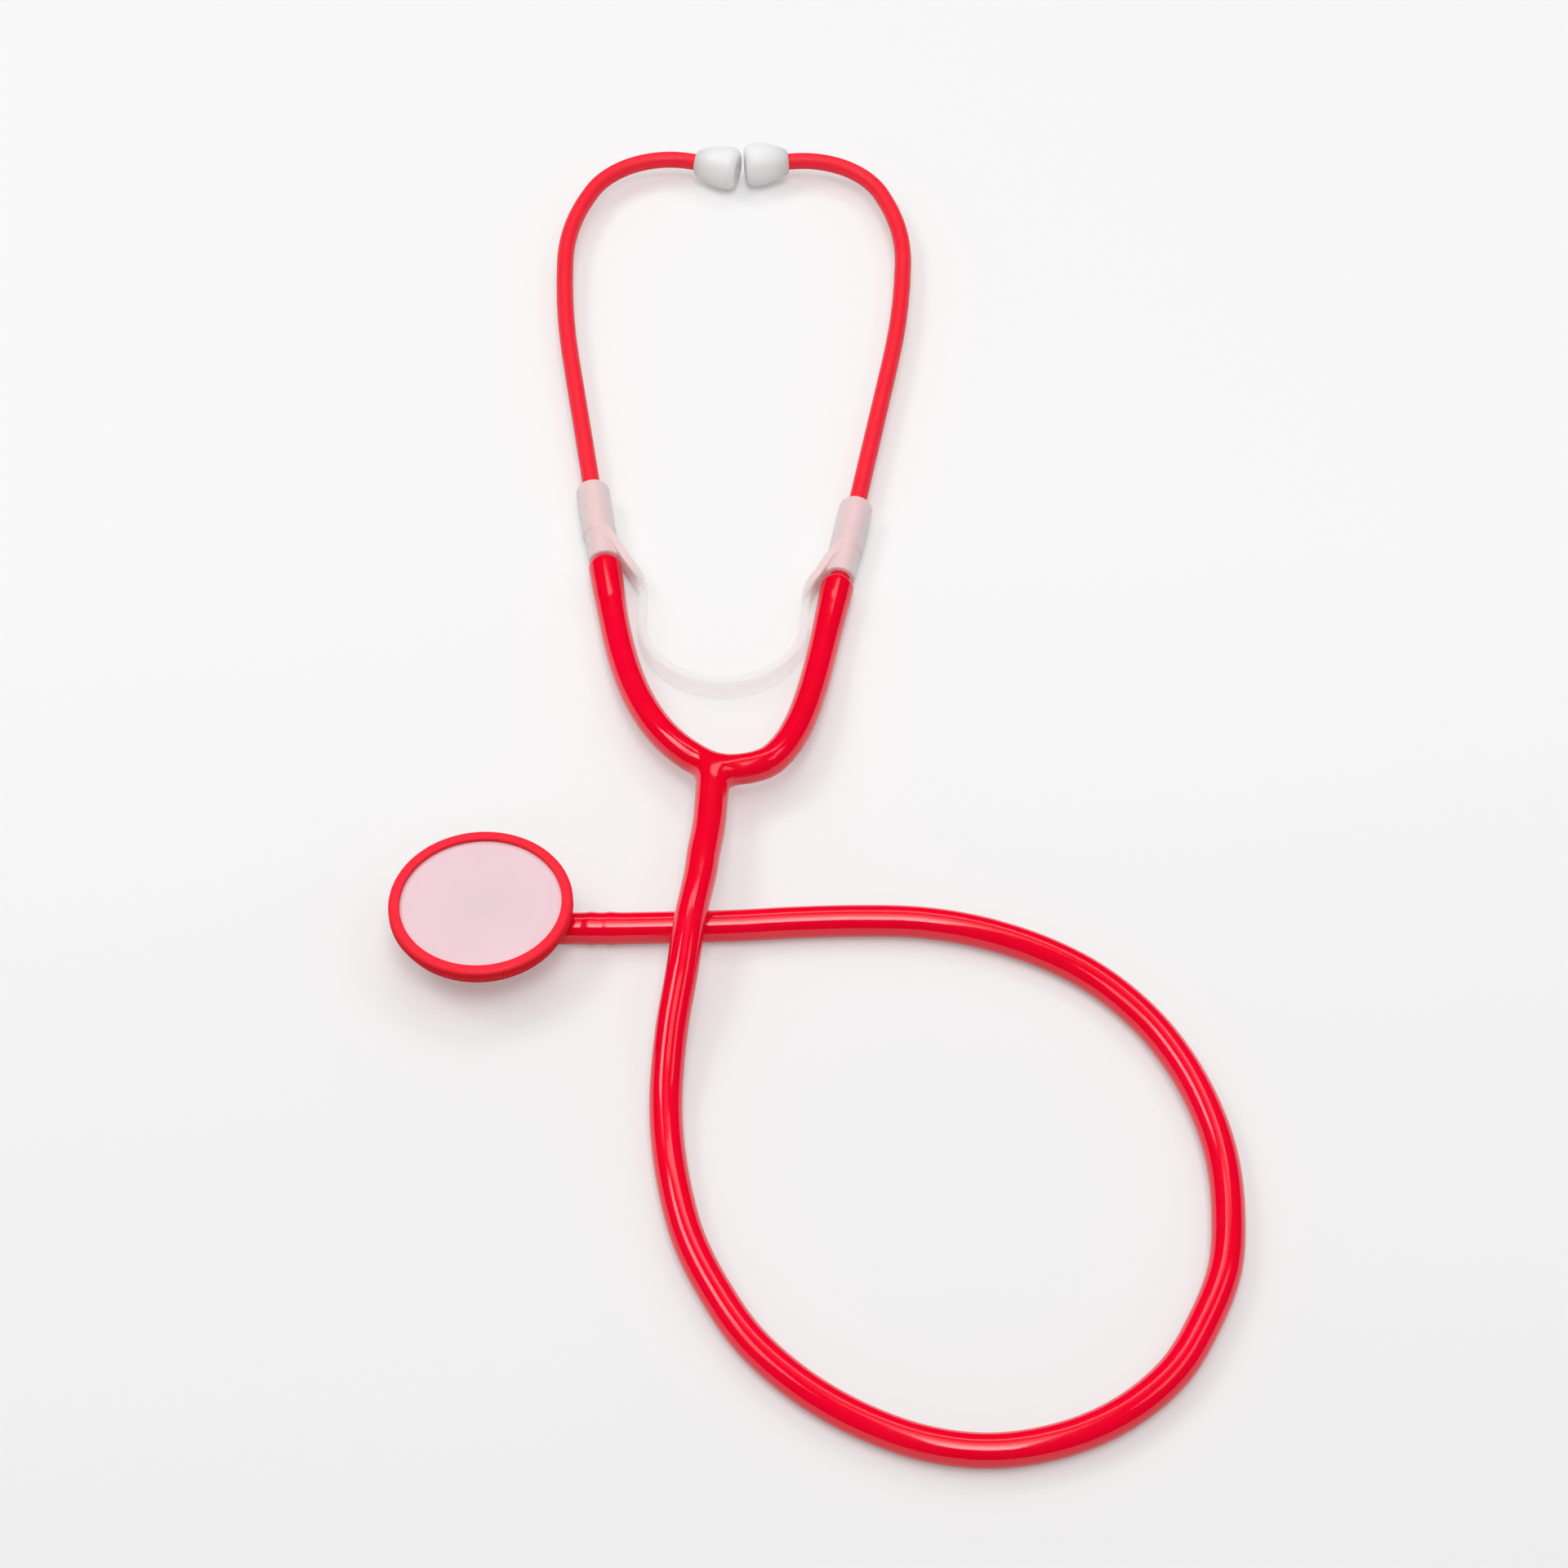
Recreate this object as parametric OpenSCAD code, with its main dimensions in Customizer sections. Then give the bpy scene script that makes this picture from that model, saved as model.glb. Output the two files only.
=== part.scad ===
// Toy stethoscope lying on a table: a sprung headset with two ear tubes, a Y-shaped
// soft tube with one long run, and a flat chest piece with a milled retaining ring.
// Millimetres, +Z up, the table at z = 0, the ear tips towards +Y.

/* [Ear tips] */
// Length of an ear tip along its axis
tip_len = 12.6; // [11:0.1:16]
// Largest diameter of an ear tip
tip_d = 12.6; // [11:0.1:14]
// Diameter of an ear tip where the ear tube enters
tip_base_d = 6.8; // [6.4:0.1:8]
// Diameter of the flat face of an ear tip
tip_face_d = 8.4; // [6:0.1:9]
// Where an ear tip is widest, as a share of its length
tip_widest_share = 0.79; // [0.6:0.01:0.85]
// Sound hole through the face of an ear tip
tip_hole_d = 2.8; // [2:0.1:3.4]
// Depth of the ear tube in its tip
tip_grip = 7; // [5:0.1:9]

/* [Ear tubes] */
// Outer diameter of an ear tube
ear_tube_d = 4.7; // [4.2:0.1:5.2]
// Bore of an ear tube
ear_tube_bore = 3; // [2:0.1:3.4]
// Distance of the left ear tube's lower end from the centre line
left_low_w = 30.1; // [28:0.1:33]
// Distance of the right ear tube's lower end from the centre line
right_low_w = 27.8; // [26:0.1:31]
// How far the lower end of each ear tube lies above the crotch of the Y
low_reach = 62; // [58:0.5:70]
// How far each ear tube leans outward from its lower end
splay_deg = 9.4; // [7:0.2:11]
// Length of the straight lower stretch of an ear tube
ear_straight = 93.5; // [88:0.5:99]
// Radius of the long upper bend
bow_r = 280; // [250:5:400]
// Angle of the long upper bend
bow_deg = 8; // [6:0.5:10]
// Radius of the shoulder bend
shoulder_bend_r = 67; // [58:1:76]
// Angle of the shoulder bend
shoulder_bend_deg = 24; // [20:1:28]
// Radius of the top bend that turns the ear tube inward
top_bend_r = 24.6; // [22:0.2:28]
// Angle of the top bend of the right ear tube
top_bend_deg = 75.5; // [70:0.5:80]
// How much further the top of the left ear tube is bent
left_bend_more_deg = 6.3; // [0:0.1:8]
// Straight stretch between one bend of an ear tube and the next
between_bends = 2; // [1.5:0.5:4]
// Bare ear tube between its top bend and its tip
tip_standoff = 1.3; // [0.5:0.1:3]

/* [Bridge] */
// Length of the sleeve round each ear tube
sleeve_len = 26.8; // [22:0.1:32]
// Wall of the thick upper part of a sleeve
sleeve_wall = 2.1; // [1.6:0.1:2.6]
// Wall of the thin lower part of a sleeve
sleeve_low_wall = 1.65; // [1.1:0.05:2]
// Height of the step between the thin and the thick part of a sleeve
sleeve_step = 9.2; // [7:0.1:12]
// Rounding of the upper edge of a sleeve
sleeve_round = 1.1; // [0.4:0.1:1.5]
// Bare ear tube between the left arm and its sleeve
left_gap = 0.8; // [0.5:0.1:3]
// Bare ear tube between the right arm and its sleeve
right_gap = 1.9; // [0.5:0.1:3]
// Thickness of the spring strap
strap_t = 2.2; // [1.6:0.1:2.8]
// Width of the spring strap
strap_w = 6.2; // [5:0.1:7]
// Width of the strap where it leaves a sleeve
strap_root_w = 8.2; // [7:0.1:8.4]
// Height on the sleeve at which the strap leaves it
strap_leaves = 4.2; // [3:0.1:6]
// Middle radius of the U of the strap
strap_u_r = 21.2; // [19.5:0.1:22]
// How far the bottom of the U lies above the crotch of the Y
strap_bottom = 32.4; // [30:0.1:35]
// How far the strap flares outward to meet its sleeves
strap_flare_deg = 30; // [26:1:36]
// Radius of the bend into each flare
strap_flare_r = 15; // [12:0.5:18]

/* [Y tubing] */
// Outer diameter of the tubing
tube_d = 7.8; // [7.6:0.1:8.4]
// Bore of the tubing
tube_bore = 4.2; // [3.4:0.1:4.6]
// Length of ear tube pushed into the left arm
left_grip = 13.8; // [10:0.1:16]
// Length of ear tube pushed into the right arm
right_grip = 7.4; // [6:0.1:12]
// Rounding of the upper end of each arm
arm_round = 1.3; // [0.6:0.1:1.6]
// How far an arm is swollen at its upper end by the ear tube in it
arm_swell = 0.45; // [0:0.05:0.6]
// Length over which that swelling fades
swell_long = 24; // [14:1:30]
// Radius of the right half of the crotch
right_bend_r = 12; // [11:0.5:16]
// Angle of the right half of the crotch
right_bend_deg = 45; // [40:1:50]
// Radius of the left half of the crotch
left_bend_r = 9.4; // [9:0.2:13]
// Angle of the left half of the crotch
left_bend_deg = 39; // [35:1:45]
// Flat stretch at the bottom of the crotch
crotch_flat = 2; // [1.5:0.5:4]
// Straight stretch beyond the left half of the crotch
left_straight = 4; // [3:0.5:8]
// Height of the tubing's axis at the crotch
crotch_up = 9.3; // [8:0.1:11]
// How steeply the Y slopes down towards its arms
yoke_slope_deg = 3.8; // [2:0.1:5]

/* [Chest piece] */
// Outer diameter over the milled edge of the ring
ring_d = 44; // [42:0.5:48]
// Height of the retaining ring
ring_h = 3.1; // [2.6:0.1:3.6]
// Number of teeth in the milled edge
mill_teeth = 240; // [120:10:260]
// Depth of the milled grooves
mill_depth = 0.22; // [0.1:0.02:0.3]
// Height of the whole chest piece
chest_h = 14.5; // [13:0.1:16]
// Width of the ring's face, from its milled edge in to the window
ring_face_w = 2.7; // [2:0.05:4]
// Thickness of the diaphragm
film_t = 0.35; // [0.2:0.05:0.6]
// Thickness of the lip that holds the diaphragm
lip_t = 1.1; // [0.8:0.1:1.4]
// Diameter of the flat back that rests on the table
back_d = 25; // [20:0.5:28]
// Depth of the dish under the diaphragm
dish_deep = 3.2; // [1.5:0.1:4]
// Bore of the stem and of the sound hole in the dish
stem_bore = 2.8; // [2:0.1:3.2]
// Length of the barbed stem inside the tube
stem_len = 12; // [9:0.5:16]

/* [Hidden] */
$fn = 64;
over = 1;                  // overrun of a cutting solid
lap = 0.4;                 // a straight runs this far into the bend next to it
bend_more = 0.01;          // and the bend is thicker by this much all round
turn_fit = 0.03;           // radial clearance of a piece that turns on an ear tube
rest_gap = 0.02;           // clearance under what lies on the table
meet_gap = 0.15;           // half the gap between the two ear tips
centre_left = 0.3;         // shifts the whole object so that its box is centred
centre_up = 0.8;
centre_at = [-centre_left, centre_up];

// Radii that several pieces share
ear_tube_r = ear_tube_d / 2;
bore_fit_r = ear_tube_r + turn_fit;
tube_r = tube_d / 2;
tip_r = tip_d / 2;
sleeve_r = bore_fit_r + sleeve_wall;
sleeve_low_r = bore_fit_r + sleeve_low_wall;

// Where the headset stands: the crotch of the Y, and the lean of its centre line
crotch_right = 13.6;
crotch_down = 88.7;
headset_at = centre_at + [crotch_right, -crotch_down];
headset_lean_deg = 0.83;

// Ear tube as legs of straight length, turn and radius, from its lower end
function ear_legs(side, last = 0) =
    [[ear_straight, bow_deg, bow_r], [between_bends, shoulder_bend_deg, shoulder_bend_r],
     [between_bends, top_bend_deg + (side < 0 ? left_bend_more_deg : 0), top_bend_r],
     [tip_standoff + last, 0, 0]];
function low_w(side) = side < 0 ? left_low_w : right_low_w;
function ear_run(side, w) = run_end([w, low_reach, -splay_deg], ear_legs(side));
// How far a tip on a tube of this heading reaches towards the centre line, nose included
function tip_reach(a) = let (widest = tip_len * tip_widest_share, face_r = tip_face_d / 2)
    widest * sin(a) - face_r * cos(a)
    + norm([(tip_len - widest) * sin(a), (tip_d / 2 - face_r) * cos(a)]);
// Place of each lower end, moved sideways so that the two tips just meet on the centre line
function ear_start(side) = let (e = ear_run(side, low_w(side)))
    [low_w(side) - e[0] + tip_reach(e[2]) + meet_gap, low_reach, -splay_deg];
function ear_end(side) = run_end(ear_start(side), ear_legs(side));
// Height of the axis at the lower end of the ear tubes and at the tips
low_axis_up = sleeve_r + rest_gap - sleeve_r * (1 - cos(splay_deg));
tip_axis_up = tip_r + 2 * rest_gap;
headset_slope_deg = asin((tip_axis_up - low_axis_up) / (ear_end(1)[1] - low_reach));

// Sleeves: distance of each from the lower end of its ear tube
sleeve_from = [left_grip + left_gap, right_grip + right_gap];
// Strap: half its thickness inside the sleeve's outline, at the height where it leaves
strap_root_out = 6;        // length of strap moulded with the sleeve outside its outline
strap_root_in = 5.4;       // and inside its outline
strap_apex = 0.5;          // how far the step's arch starts inward of the sleeve's axis
strap_u_left = 0.8;        // how far the U lies to the left of the centre line

// Y tubing: crotch place on the headset's own axes, and the free curve of each arm
crotch_x = 2.6;
crotch_below = 0.3;
stem_left = 4.3;           // how far the stem leaves left of the middle of the crotch
arm_leads = [[19.5, 18], [12.5, 25]];   // how far each arm keeps its direction at its two ends
arm_steps = 14;            // rings along the free curve of an arm
arm_sides = 24;            // sides of an arm
flare_wide = 2.2;          // how far the moulded fillet of the stem flares
flare_long = 9;            // and how far down the stem it runs
flare_thick_share = 0.8;   // thickness of that fillet as a share of the tube's diameter
flare_steps = 8;

// Route of the long tube: x, y and how far it is lifted off the table, by hand
route = [
    [10.5, -111.5, 6.8], [9.7, -118, 7.5], [9, -125, 8], [7, -138, 8.4], [5.2, -153, 6.8],
    [3, -168, 3.6], [2, -183, 0.8], [2.5, -196, 0], [4.5, -210, 0], [8, -224, 0],
    [14, -237.5, 0], [22, -250.5, 0], [33.5, -262, 0], [46.5, -270.5, 0], [60.5, -276, 0],
    [75, -277.5, 0], [90, -274.5, 0], [103, -268, 0], [114, -258, 0], [121.5, -245.5, 0],
    [127, -232, 0], [129, -218, 0], [129, -203, 0], [126.5, -189, 0], [121.5, -175, 0],
    [114, -162, 0], [103.5, -150.5, 0], [91, -142, 0], [76.5, -136, 0], [62, -133, 0],
    [47, -132.5, 0], [32, -133, 0], [17, -134, 0], [2, -134.5, 0], [-11, -134.8, 0],
    [-23, -134.8, 0]];
route_sides = 12;
route_axis = [for (p = route) [centre_at[0] + p[0], centre_at[1] + p[1], p[2] + tube_r]];

// Chest piece: the stem's boss ends where the tube ends
boss_out = 20;
chest_at = [route_axis[35][0] - boss_out, route_axis[35][1]];
ring_r = ring_d / 2;
thread_in = 2;             // how far the thread lies inside the milled edge
spigot_r = ring_r - thread_in;
thread_fit = 0.05;         // radial clearance between the ring and the spigot
window_r = ring_r - ring_face_w;
film_in = 0.1;             // how far the diaphragm's edge lies inside the thread
film_r = spigot_r - film_in;
film_gap = 0.02;           // clearance above and below the diaphragm
lip_low = chest_h - lip_t; // underside of the ring's lip
spigot_top = lip_low - film_t - 2 * film_gap;
ring_low = chest_h - ring_h;
seat_gap = 0.1;            // gap between the cup's shoulder and the ring
seat_up = ring_low - seat_gap;
shoulder_t = 1.3;          // thickness of the cup's rim
shoulder_in = 0.9;         // how far the cup's rim lies inside the milled edge
shoulder_r = ring_r - shoulder_in;
rim_w = 1.6;               // width of the rim that the diaphragm lies on
back_r = back_d / 2;
back_round = 0.8;
hub_steps = 10;            // points of the curve from the hub to the rim
stem_wall = 0.9;
barb_out = 0.6;            // how far each barb stands out of the stem
stem_r = stem_bore / 2 + stem_wall;
barb_r = stem_r + barb_out;
barb_places_share = [0.55, 0.95];
barb_long = 2;
mill_ledge = 0.08;         // flat ledge between the milled grooves and the bevel above
lip_bevel_w = 0.7;         // shoulder of the ring above the milled band
lip_bevel_h = 0.45;
lip_inner_bevel = 0.3;

// End of a run of legs, as x, y and heading, where 0 heads along +Y
function leg_end(p, leg) =
    let (q = [p[0] - leg[0] * sin(p[2]), p[1] + leg[0] * cos(p[2])],
         r = leg[1] < 0 ? -leg[2] : leg[2], b = p[2] + leg[1])
    [q[0] - r * cos(p[2]) + r * cos(b), q[1] - r * sin(p[2]) + r * sin(b), b];
function run_end(p, legs, i = 0) = i == len(legs) ? p : run_end(leg_end(p, legs[i]), legs, i + 1);
function longer(legs, more) = let (n = len(legs) - 1)
    [for (i = [0:n]) legs[i] + [i == 0 || i == n ? more : 0, 0, 0]];
function unit(v) = v / norm(v);
function heading(a) = [-sin(a), cos(a), 0];

// A point on the sloping plane of the headset, and one on that of the yoke
function on_headset(u, v) = [u, low_reach + (v - low_reach) * cos(headset_slope_deg),
                             low_axis_up + (v - low_reach) * sin(headset_slope_deg)];
function on_yoke(x, y) = [crotch_x + x, y * cos(yoke_slope_deg) - crotch_below,
                          crotch_up - y * sin(yoke_slope_deg)];
function to_headset(p) = let (x = p[0] - headset_at[0], y = p[1] - headset_at[1])
    [x * cos(headset_lean_deg) - y * sin(headset_lean_deg),
     x * sin(headset_lean_deg) + y * cos(headset_lean_deg), p[2]];

// Rings of a swept tube and the faces between them
function ring_at(c, t, r, n) = let (s = unit(cross(t, [0, 0, 1])), w = cross(s, t))
    [for (i = [0:n - 1]) c + r * (cos(360 * i / n) * s + sin(360 * i / n) * w)];
function tangent(p, i) = unit(p[min(i + 1, len(p) - 1)] - p[max(i - 1, 0)]);
function quad(a, b, c, d) = [[a, b, c], [a, c, d]];
function skin(k, n, close = false) = [for (j = [0:close ? k - 1 : k - 2], i = [0:n - 1])
    let (m = (j + 1) % k, h = (i + 1) % n)
    each quad(j * n + i, m * n + i, m * n + h, j * n + h)];
function flat(lists) = [for (a = lists, b = a) b];

// A solid round bar swept along a list of points
module swept_bar(axis, r, n) {
    k = len(axis);
    rings = [for (j = [0:k - 1]) ring_at(axis[j], tangent(axis, j), r, n)];
    first = [for (i = [0:n - 1]) i];
    last = [for (i = [n - 1:-1:0]) (k - 1) * n + i];
    polyhedron(flat(rings), concat([first], skin(k, n), [last]), convexity = 6);
}

// A bend of the 2D section in children(), towards -X for a turn above zero
module elbow(turn, r) {
    if (turn < 0)
        mirror([1, 0, 0]) elbow(-turn, r) children();
    else
        translate([-r, 0, 0]) rotate_extrude(angle = turn, $fn = 72) translate([r, 0]) children();
}

// Legs one after the other, from the origin along +Y. The first section is that of a
// straight, and the second, a little larger, that of a bend, so that straights end inside it.
module run(legs, i = 0) {
    if (i < len(legs)) {
        leg = legs[i];
        r = leg[1] < 0 ? -leg[2] : leg[2];
        back = i > 0 ? lap : 0;
        ahead = leg[1] != 0 ? lap : 0;
        if (leg[0] > 0) translate([0, -back, 0]) rotate([-90, 0, 0])
            linear_extrude(leg[0] + back + ahead) children(0);
        translate([0, leg[0], 0]) {
            if (leg[1] != 0) elbow(leg[1], leg[2]) children(1);
            translate([-r, 0, 0]) rotate([0, 0, leg[1]]) translate([r, 0, 0])
                run(legs, i + 1) {
                    children(0);
                    children(1);
                }
        }
    }
}

module round_run(legs, r) {
    run(legs) {
        circle(r);
        circle(r + bend_more);
    }
}

// Frames: the headset's axes on the table, its sloping plane, and a side of it.
// side is 1 on the right and -1 on the left.
module headset_frame() {
    translate([headset_at[0], headset_at[1], 0]) rotate([0, 0, -headset_lean_deg]) children();
}

module headset_plane() {
    headset_frame() translate([0, low_reach, low_axis_up]) rotate([headset_slope_deg, 0, 0])
        translate([0, -low_reach, 0]) children();
}

module side_frame(side) {
    headset_plane() mirror([side < 0 ? 1 : 0, 0, 0])
        translate([ear_start(side)[0], low_reach, 0]) rotate([0, 0, -splay_deg]) children();
}

module at_tip(side) {
    headset_plane() mirror([side < 0 ? 1 : 0, 0, 0])
        translate([ear_end(side)[0], ear_end(side)[1], 0])
            rotate([0, 0, ear_end(side)[2]]) children();
}

// Ear tip: a bullet with a flat face, a socket and a sound hole
function tip_profile() =
    let (widest = tip_len * tip_widest_share, base_r = tip_base_d / 2, face_r = tip_face_d / 2,
         n = 12)
    concat([for (i = [0:n]) let (t = i / n)
                [base_r + (tip_r - base_r) * pow(sin(90 * t), 0.85), widest * t]],
           [for (i = [1:n]) let (t = 90 * i / n)
                [face_r + (tip_r - face_r) * cos(t), widest + (tip_len - widest) * sin(t)]]);

module ear_tip(side) {
    color("whitesmoke") at_tip(side) rotate([-90, 0, 0]) difference() {
        rotate_extrude() polygon(concat([[0, 0]], tip_profile(), [[0, tip_len]]));
        translate([0, 0, -over]) cylinder(h = tip_grip + over, r = bore_fit_r);
        cylinder(h = tip_len + over, d = tip_hole_d);
    }
}

// Ear tube: one thin rigid pipe bent inward at the top
module ear_tube(side) {
    legs = ear_legs(side, tip_grip);
    color("crimson") side_frame(side) difference() {
        round_run(legs, ear_tube_r);
        translate([0, -over, 0]) round_run(longer(legs, over), ear_tube_bore / 2);
    }
}

// Sleeve: thick above an arched step, thin below it, with the root of the strap
module sleeve(side) {
    from = side < 0 ? sleeve_from[0] : sleeve_from[1];
    turn = strap_flare_deg - splay_deg;
    color("mistyrose") side_frame(side) translate([0, from, 0]) difference() {
        union() {
            rotate([-90, 0, 0]) cylinder(h = sleeve_step + over, r = sleeve_low_r);
            intersection() {
                rotate([-90, 0, 0]) rotate_extrude() sleeve_profile();
                linear_extrude(4 * sleeve_r, center = true) sleeve_region();
            }
            translate([strap_t / 2 - sleeve_r, strap_leaves, 0]) rotate([0, 0, -turn])
                strap_root();
        }
        rotate([-90, 0, 0]) translate([0, 0, -over])
            cylinder(h = sleeve_len + 2 * over, r = bore_fit_r);
    }
}

module sleeve_profile() {
    r = sleeve_r - sleeve_round;
    square([sleeve_r, sleeve_len - sleeve_round]);
    square([r, sleeve_len]);
    translate([r, sleeve_len - sleeve_round]) intersection() {
        circle(sleeve_round);
        square(sleeve_round);
    }
}

// The part of the sleeve's outline that is thick, cut away below the arch
module sleeve_region() {
    wide = 2 * sleeve_r;
    fall = (sleeve_step - strap_leaves) / (sleeve_r - strap_apex);
    polygon([[wide, sleeve_step], [-strap_apex, sleeve_step],
             [-wide, sleeve_step - fall * (wide - strap_apex)],
             [-wide, sleeve_len + over], [wide, sleeve_len + over]]);
}

// The strap's root, wide inside the sleeve and narrowing to the strap's own width
module strap_root() {
    intersection() {
        translate([-strap_t / 2, -strap_root_out, -strap_root_w / 2])
            cube([strap_t, strap_root_out + strap_root_in, strap_root_w]);
        rotate([90, 0, 90]) linear_extrude(2 * strap_t, center = true)
            polygon([[-strap_root_out, -strap_w / 2], [0, -strap_root_w / 2],
                     [strap_root_in, -strap_root_w / 2], [strap_root_in, strap_root_w / 2],
                     [0, strap_root_w / 2], [-strap_root_out, strap_w / 2]]);
    }
}

// Where the strap meets its root on a sleeve, and how far its two straights run there
function strap_end(side) =
    let (from = side < 0 ? sleeve_from[0] : sleeve_from[1], f = strap_flare_deg,
         along = from + strap_leaves, inward = sleeve_r - strap_t / 2)
    [ear_start(side)[0] + along * sin(splay_deg) - inward * cos(splay_deg)
         - strap_root_out * sin(f),
     low_reach + along * cos(splay_deg) + inward * sin(splay_deg) - strap_root_out * cos(f)];
function strap_last(side) = (strap_end(side)[0] + side * strap_u_left - strap_u_r
    - strap_flare_r * (1 - cos(strap_flare_deg))) / sin(strap_flare_deg);
function strap_rise(side) = strap_end(side)[1] - strap_bottom - strap_u_r
    - strap_flare_r * sin(strap_flare_deg) - strap_last(side) * cos(strap_flare_deg);

// Strap: flare, rise, U, rise and flare, from the left sleeve to the right one
module bridge_strap() {
    f = strap_flare_deg;
    color("mistyrose") headset_plane()
        translate([-strap_end(-1)[0], strap_end(-1)[1], 0]) rotate([0, 0, 180 + f])
            run([[strap_last(-1), -f, strap_flare_r], [strap_rise(-1), 180, strap_u_r],
                 [strap_rise(1), -f, strap_flare_r], [strap_last(1), 0, 0]]) {
                square([strap_t, strap_w], center = true);
                square([strap_t + bend_more, strap_w + bend_more], center = true);
            }
}

// Legs of the crotch from its left end to its right one, and where each end lies
crotch_legs = [[left_straight, left_bend_deg, left_bend_r],
               [crotch_flat, right_bend_deg, right_bend_r]];
left_half = [[crotch_flat / 2, left_bend_deg, left_bend_r], [left_straight, 0, 0]];
right_half = [[crotch_flat / 2, right_bend_deg, right_bend_r]];
function half_end(side) = run_end([0, 0, -90], side < 0 ? left_half : right_half);
function stub_end(side) = let (e = half_end(side))
    [on_yoke(side * e[0], e[1]),
     unit(on_yoke(side * -sin(e[2]), cos(e[2])) - on_yoke(0, 0))];

// Axis of an arm from the ear tube's lower end to the yoke, as one smooth curve
function arm_curve(side) =
    let (s = stub_end(side), leads = side < 0 ? arm_leads[0] : arm_leads[1],
         w = ear_start(side)[0], low = on_headset(side * w, low_reach),
         d = unit(on_headset(side * (w + sin(splay_deg)), low_reach + cos(splay_deg)) - low),
         b = low - leads[1] * d, c = s[0] + leads[0] * s[1])
    [for (i = [0:arm_steps]) let (t = i / arm_steps, m = 1 - t)
        m * m * m * low + 3 * m * m * t * b + 3 * m * t * t * c + t * t * t * s[0]];

// Radius of an arm at this distance from its upper end
function arm_r(s) = tube_r + arm_swell * (1 + cos(180 * min(1, s / swell_long))) / 2;

// Arm: the soft socket round the ear tube, then the free curve down to the yoke
module arm(side) {
    grip = side < 0 ? left_grip : right_grip;
    n = arm_sides;
    inner = bore_fit_r / cos(180 / n);
    curve = arm_curve(side);
    s = stub_end(side);
    d = unit(curve[0] - curve[1]);
    up = unit(on_headset(side * sin(splay_deg), cos(splay_deg)) - on_headset(0, 0));
    top = curve[0] + grip * up;
    k = arm_steps;
    outside = concat(
        [for (i = [0:3]) ring_at(top - up * arm_round * (1 - cos(30 * i)), -up,
                                 arm_r(0) - arm_round * (1 - sin(30 * i)), n)],
        [for (i = [0:k - 1]) ring_at(curve[i], i == 0 ? -up : tangent(curve, i),
                                     arm_r(grip + norm(curve[i] - curve[0])), n)],
        [ring_at(curve[k], -s[1], tube_r, n)]);
    inside = concat(
        [ring_at(curve[k], -s[1], tube_bore / 2, n)],
        [for (i = [k - 1:-1:1]) ring_at(curve[i], tangent(curve, i), tube_bore / 2, n)],
        [ring_at(curve[0] - up * rest_gap, -up, inner, n), ring_at(top, -up, inner, n)]);
    rings = concat(outside, inside);
    color("red") headset_frame()
        polyhedron(flat(rings), skin(len(rings), n, true), convexity = 6);
}

// Yoke: the smooth crotch between the arms, and the stem with its moulded fillet
module y_yoke() {
    root = on_yoke(-stem_left, 0);
    foot = to_headset(route_axis[0]);
    color("red") headset_frame() difference() {
        union() {
            yoke_runs(tube_r);
            stem_rod(root, foot, tube_r, 0);
            intersection() {
                stem_flare(root, foot);
                yoke_slab();
            }
        }
        yoke_runs(tube_bore / 2);
        stem_rod(root, foot, tube_bore / 2, over);
    }
}

module yoke_plane() {
    translate([crotch_x, -crotch_below, crotch_up]) rotate([-yoke_slope_deg, 0, 0]) children();
}

module yoke_runs(r) {
    e = half_end(-1);
    yoke_plane() translate([-e[0], e[1], 0]) rotate([0, 0, 180 - e[2]])
        round_run(crotch_legs, r);
}

module yoke_slab() {
    wide = 4 * tube_d;
    thick = flare_thick_share * tube_d;
    yoke_plane() translate([-wide / 2, -wide / 2, -thick / 2]) cube([wide, wide, thick]);
}

module along(p, q) {
    v = q - p;
    translate(p) rotate([0, acos(v[2] / norm(v)), atan2(v[1], v[0])]) children();
}

module stem_rod(root, foot, r, more) {
    along(root, foot) cylinder(h = norm(foot - root) + more, r = r);
}

module stem_flare(root, foot) {
    along(root, foot) rotate_extrude() polygon(concat([[0, 0]],
        [for (i = [0:flare_steps]) let (t = i / flare_steps)
            [tube_r + flare_wide * (1 - sin(90 * t)), tube_r / 2 + flare_long * (1 - cos(90 * t))]],
        [[0, tube_r / 2 + flare_long]]));
}

module tubing() {
    color("red") swept_bar(route_axis, tube_r, route_sides);
}

// Chest piece
module chest_cup() {
    color("red") translate([chest_at[0], chest_at[1], 0]) difference() {
        union() {
            rotate_extrude($fn = 180) cup_profile();
            translate([0, 0, tube_r]) rotate([0, 90, 0]) cylinder(h = boss_out, r = tube_r);
            translate([boss_out, 0, tube_r]) rotate([0, 90, 0]) barbed_stem();
        }
        translate([0, 0, tube_r]) rotate([0, 90, 0])
            cylinder(h = boss_out + stem_len + over, d = stem_bore);
        translate([0, 0, tube_r]) cylinder(h = chest_h, d = stem_bore);
    }
}

module barbed_stem() {
    cylinder(h = stem_len, r = stem_r);
    for (share = barb_places_share)
        translate([0, 0, stem_len * share - barb_long])
            cylinder(h = barb_long, r1 = barb_r, r2 = stem_r);
}

// Flat back, hub, curve out to the rim, seat of the ring, spigot and dish
module cup_profile() {
    hub_low = back_round;
    hub_high = seat_up - shoulder_t;
    polygon(concat(
        [[0, 0], [back_r - back_round, 0]],
        [for (i = [0:hub_steps]) let (t = 90 * i / hub_steps)
            [back_r + (shoulder_r - back_r) * (1 - cos(t)), hub_low + (hub_high - hub_low) * sin(t)]],
        [[shoulder_r, seat_up], [spigot_r, seat_up], [spigot_r, spigot_top],
         [spigot_r - rim_w, spigot_top], [stem_bore, spigot_top - dish_deep],
         [0, spigot_top - dish_deep]]));
}

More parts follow.
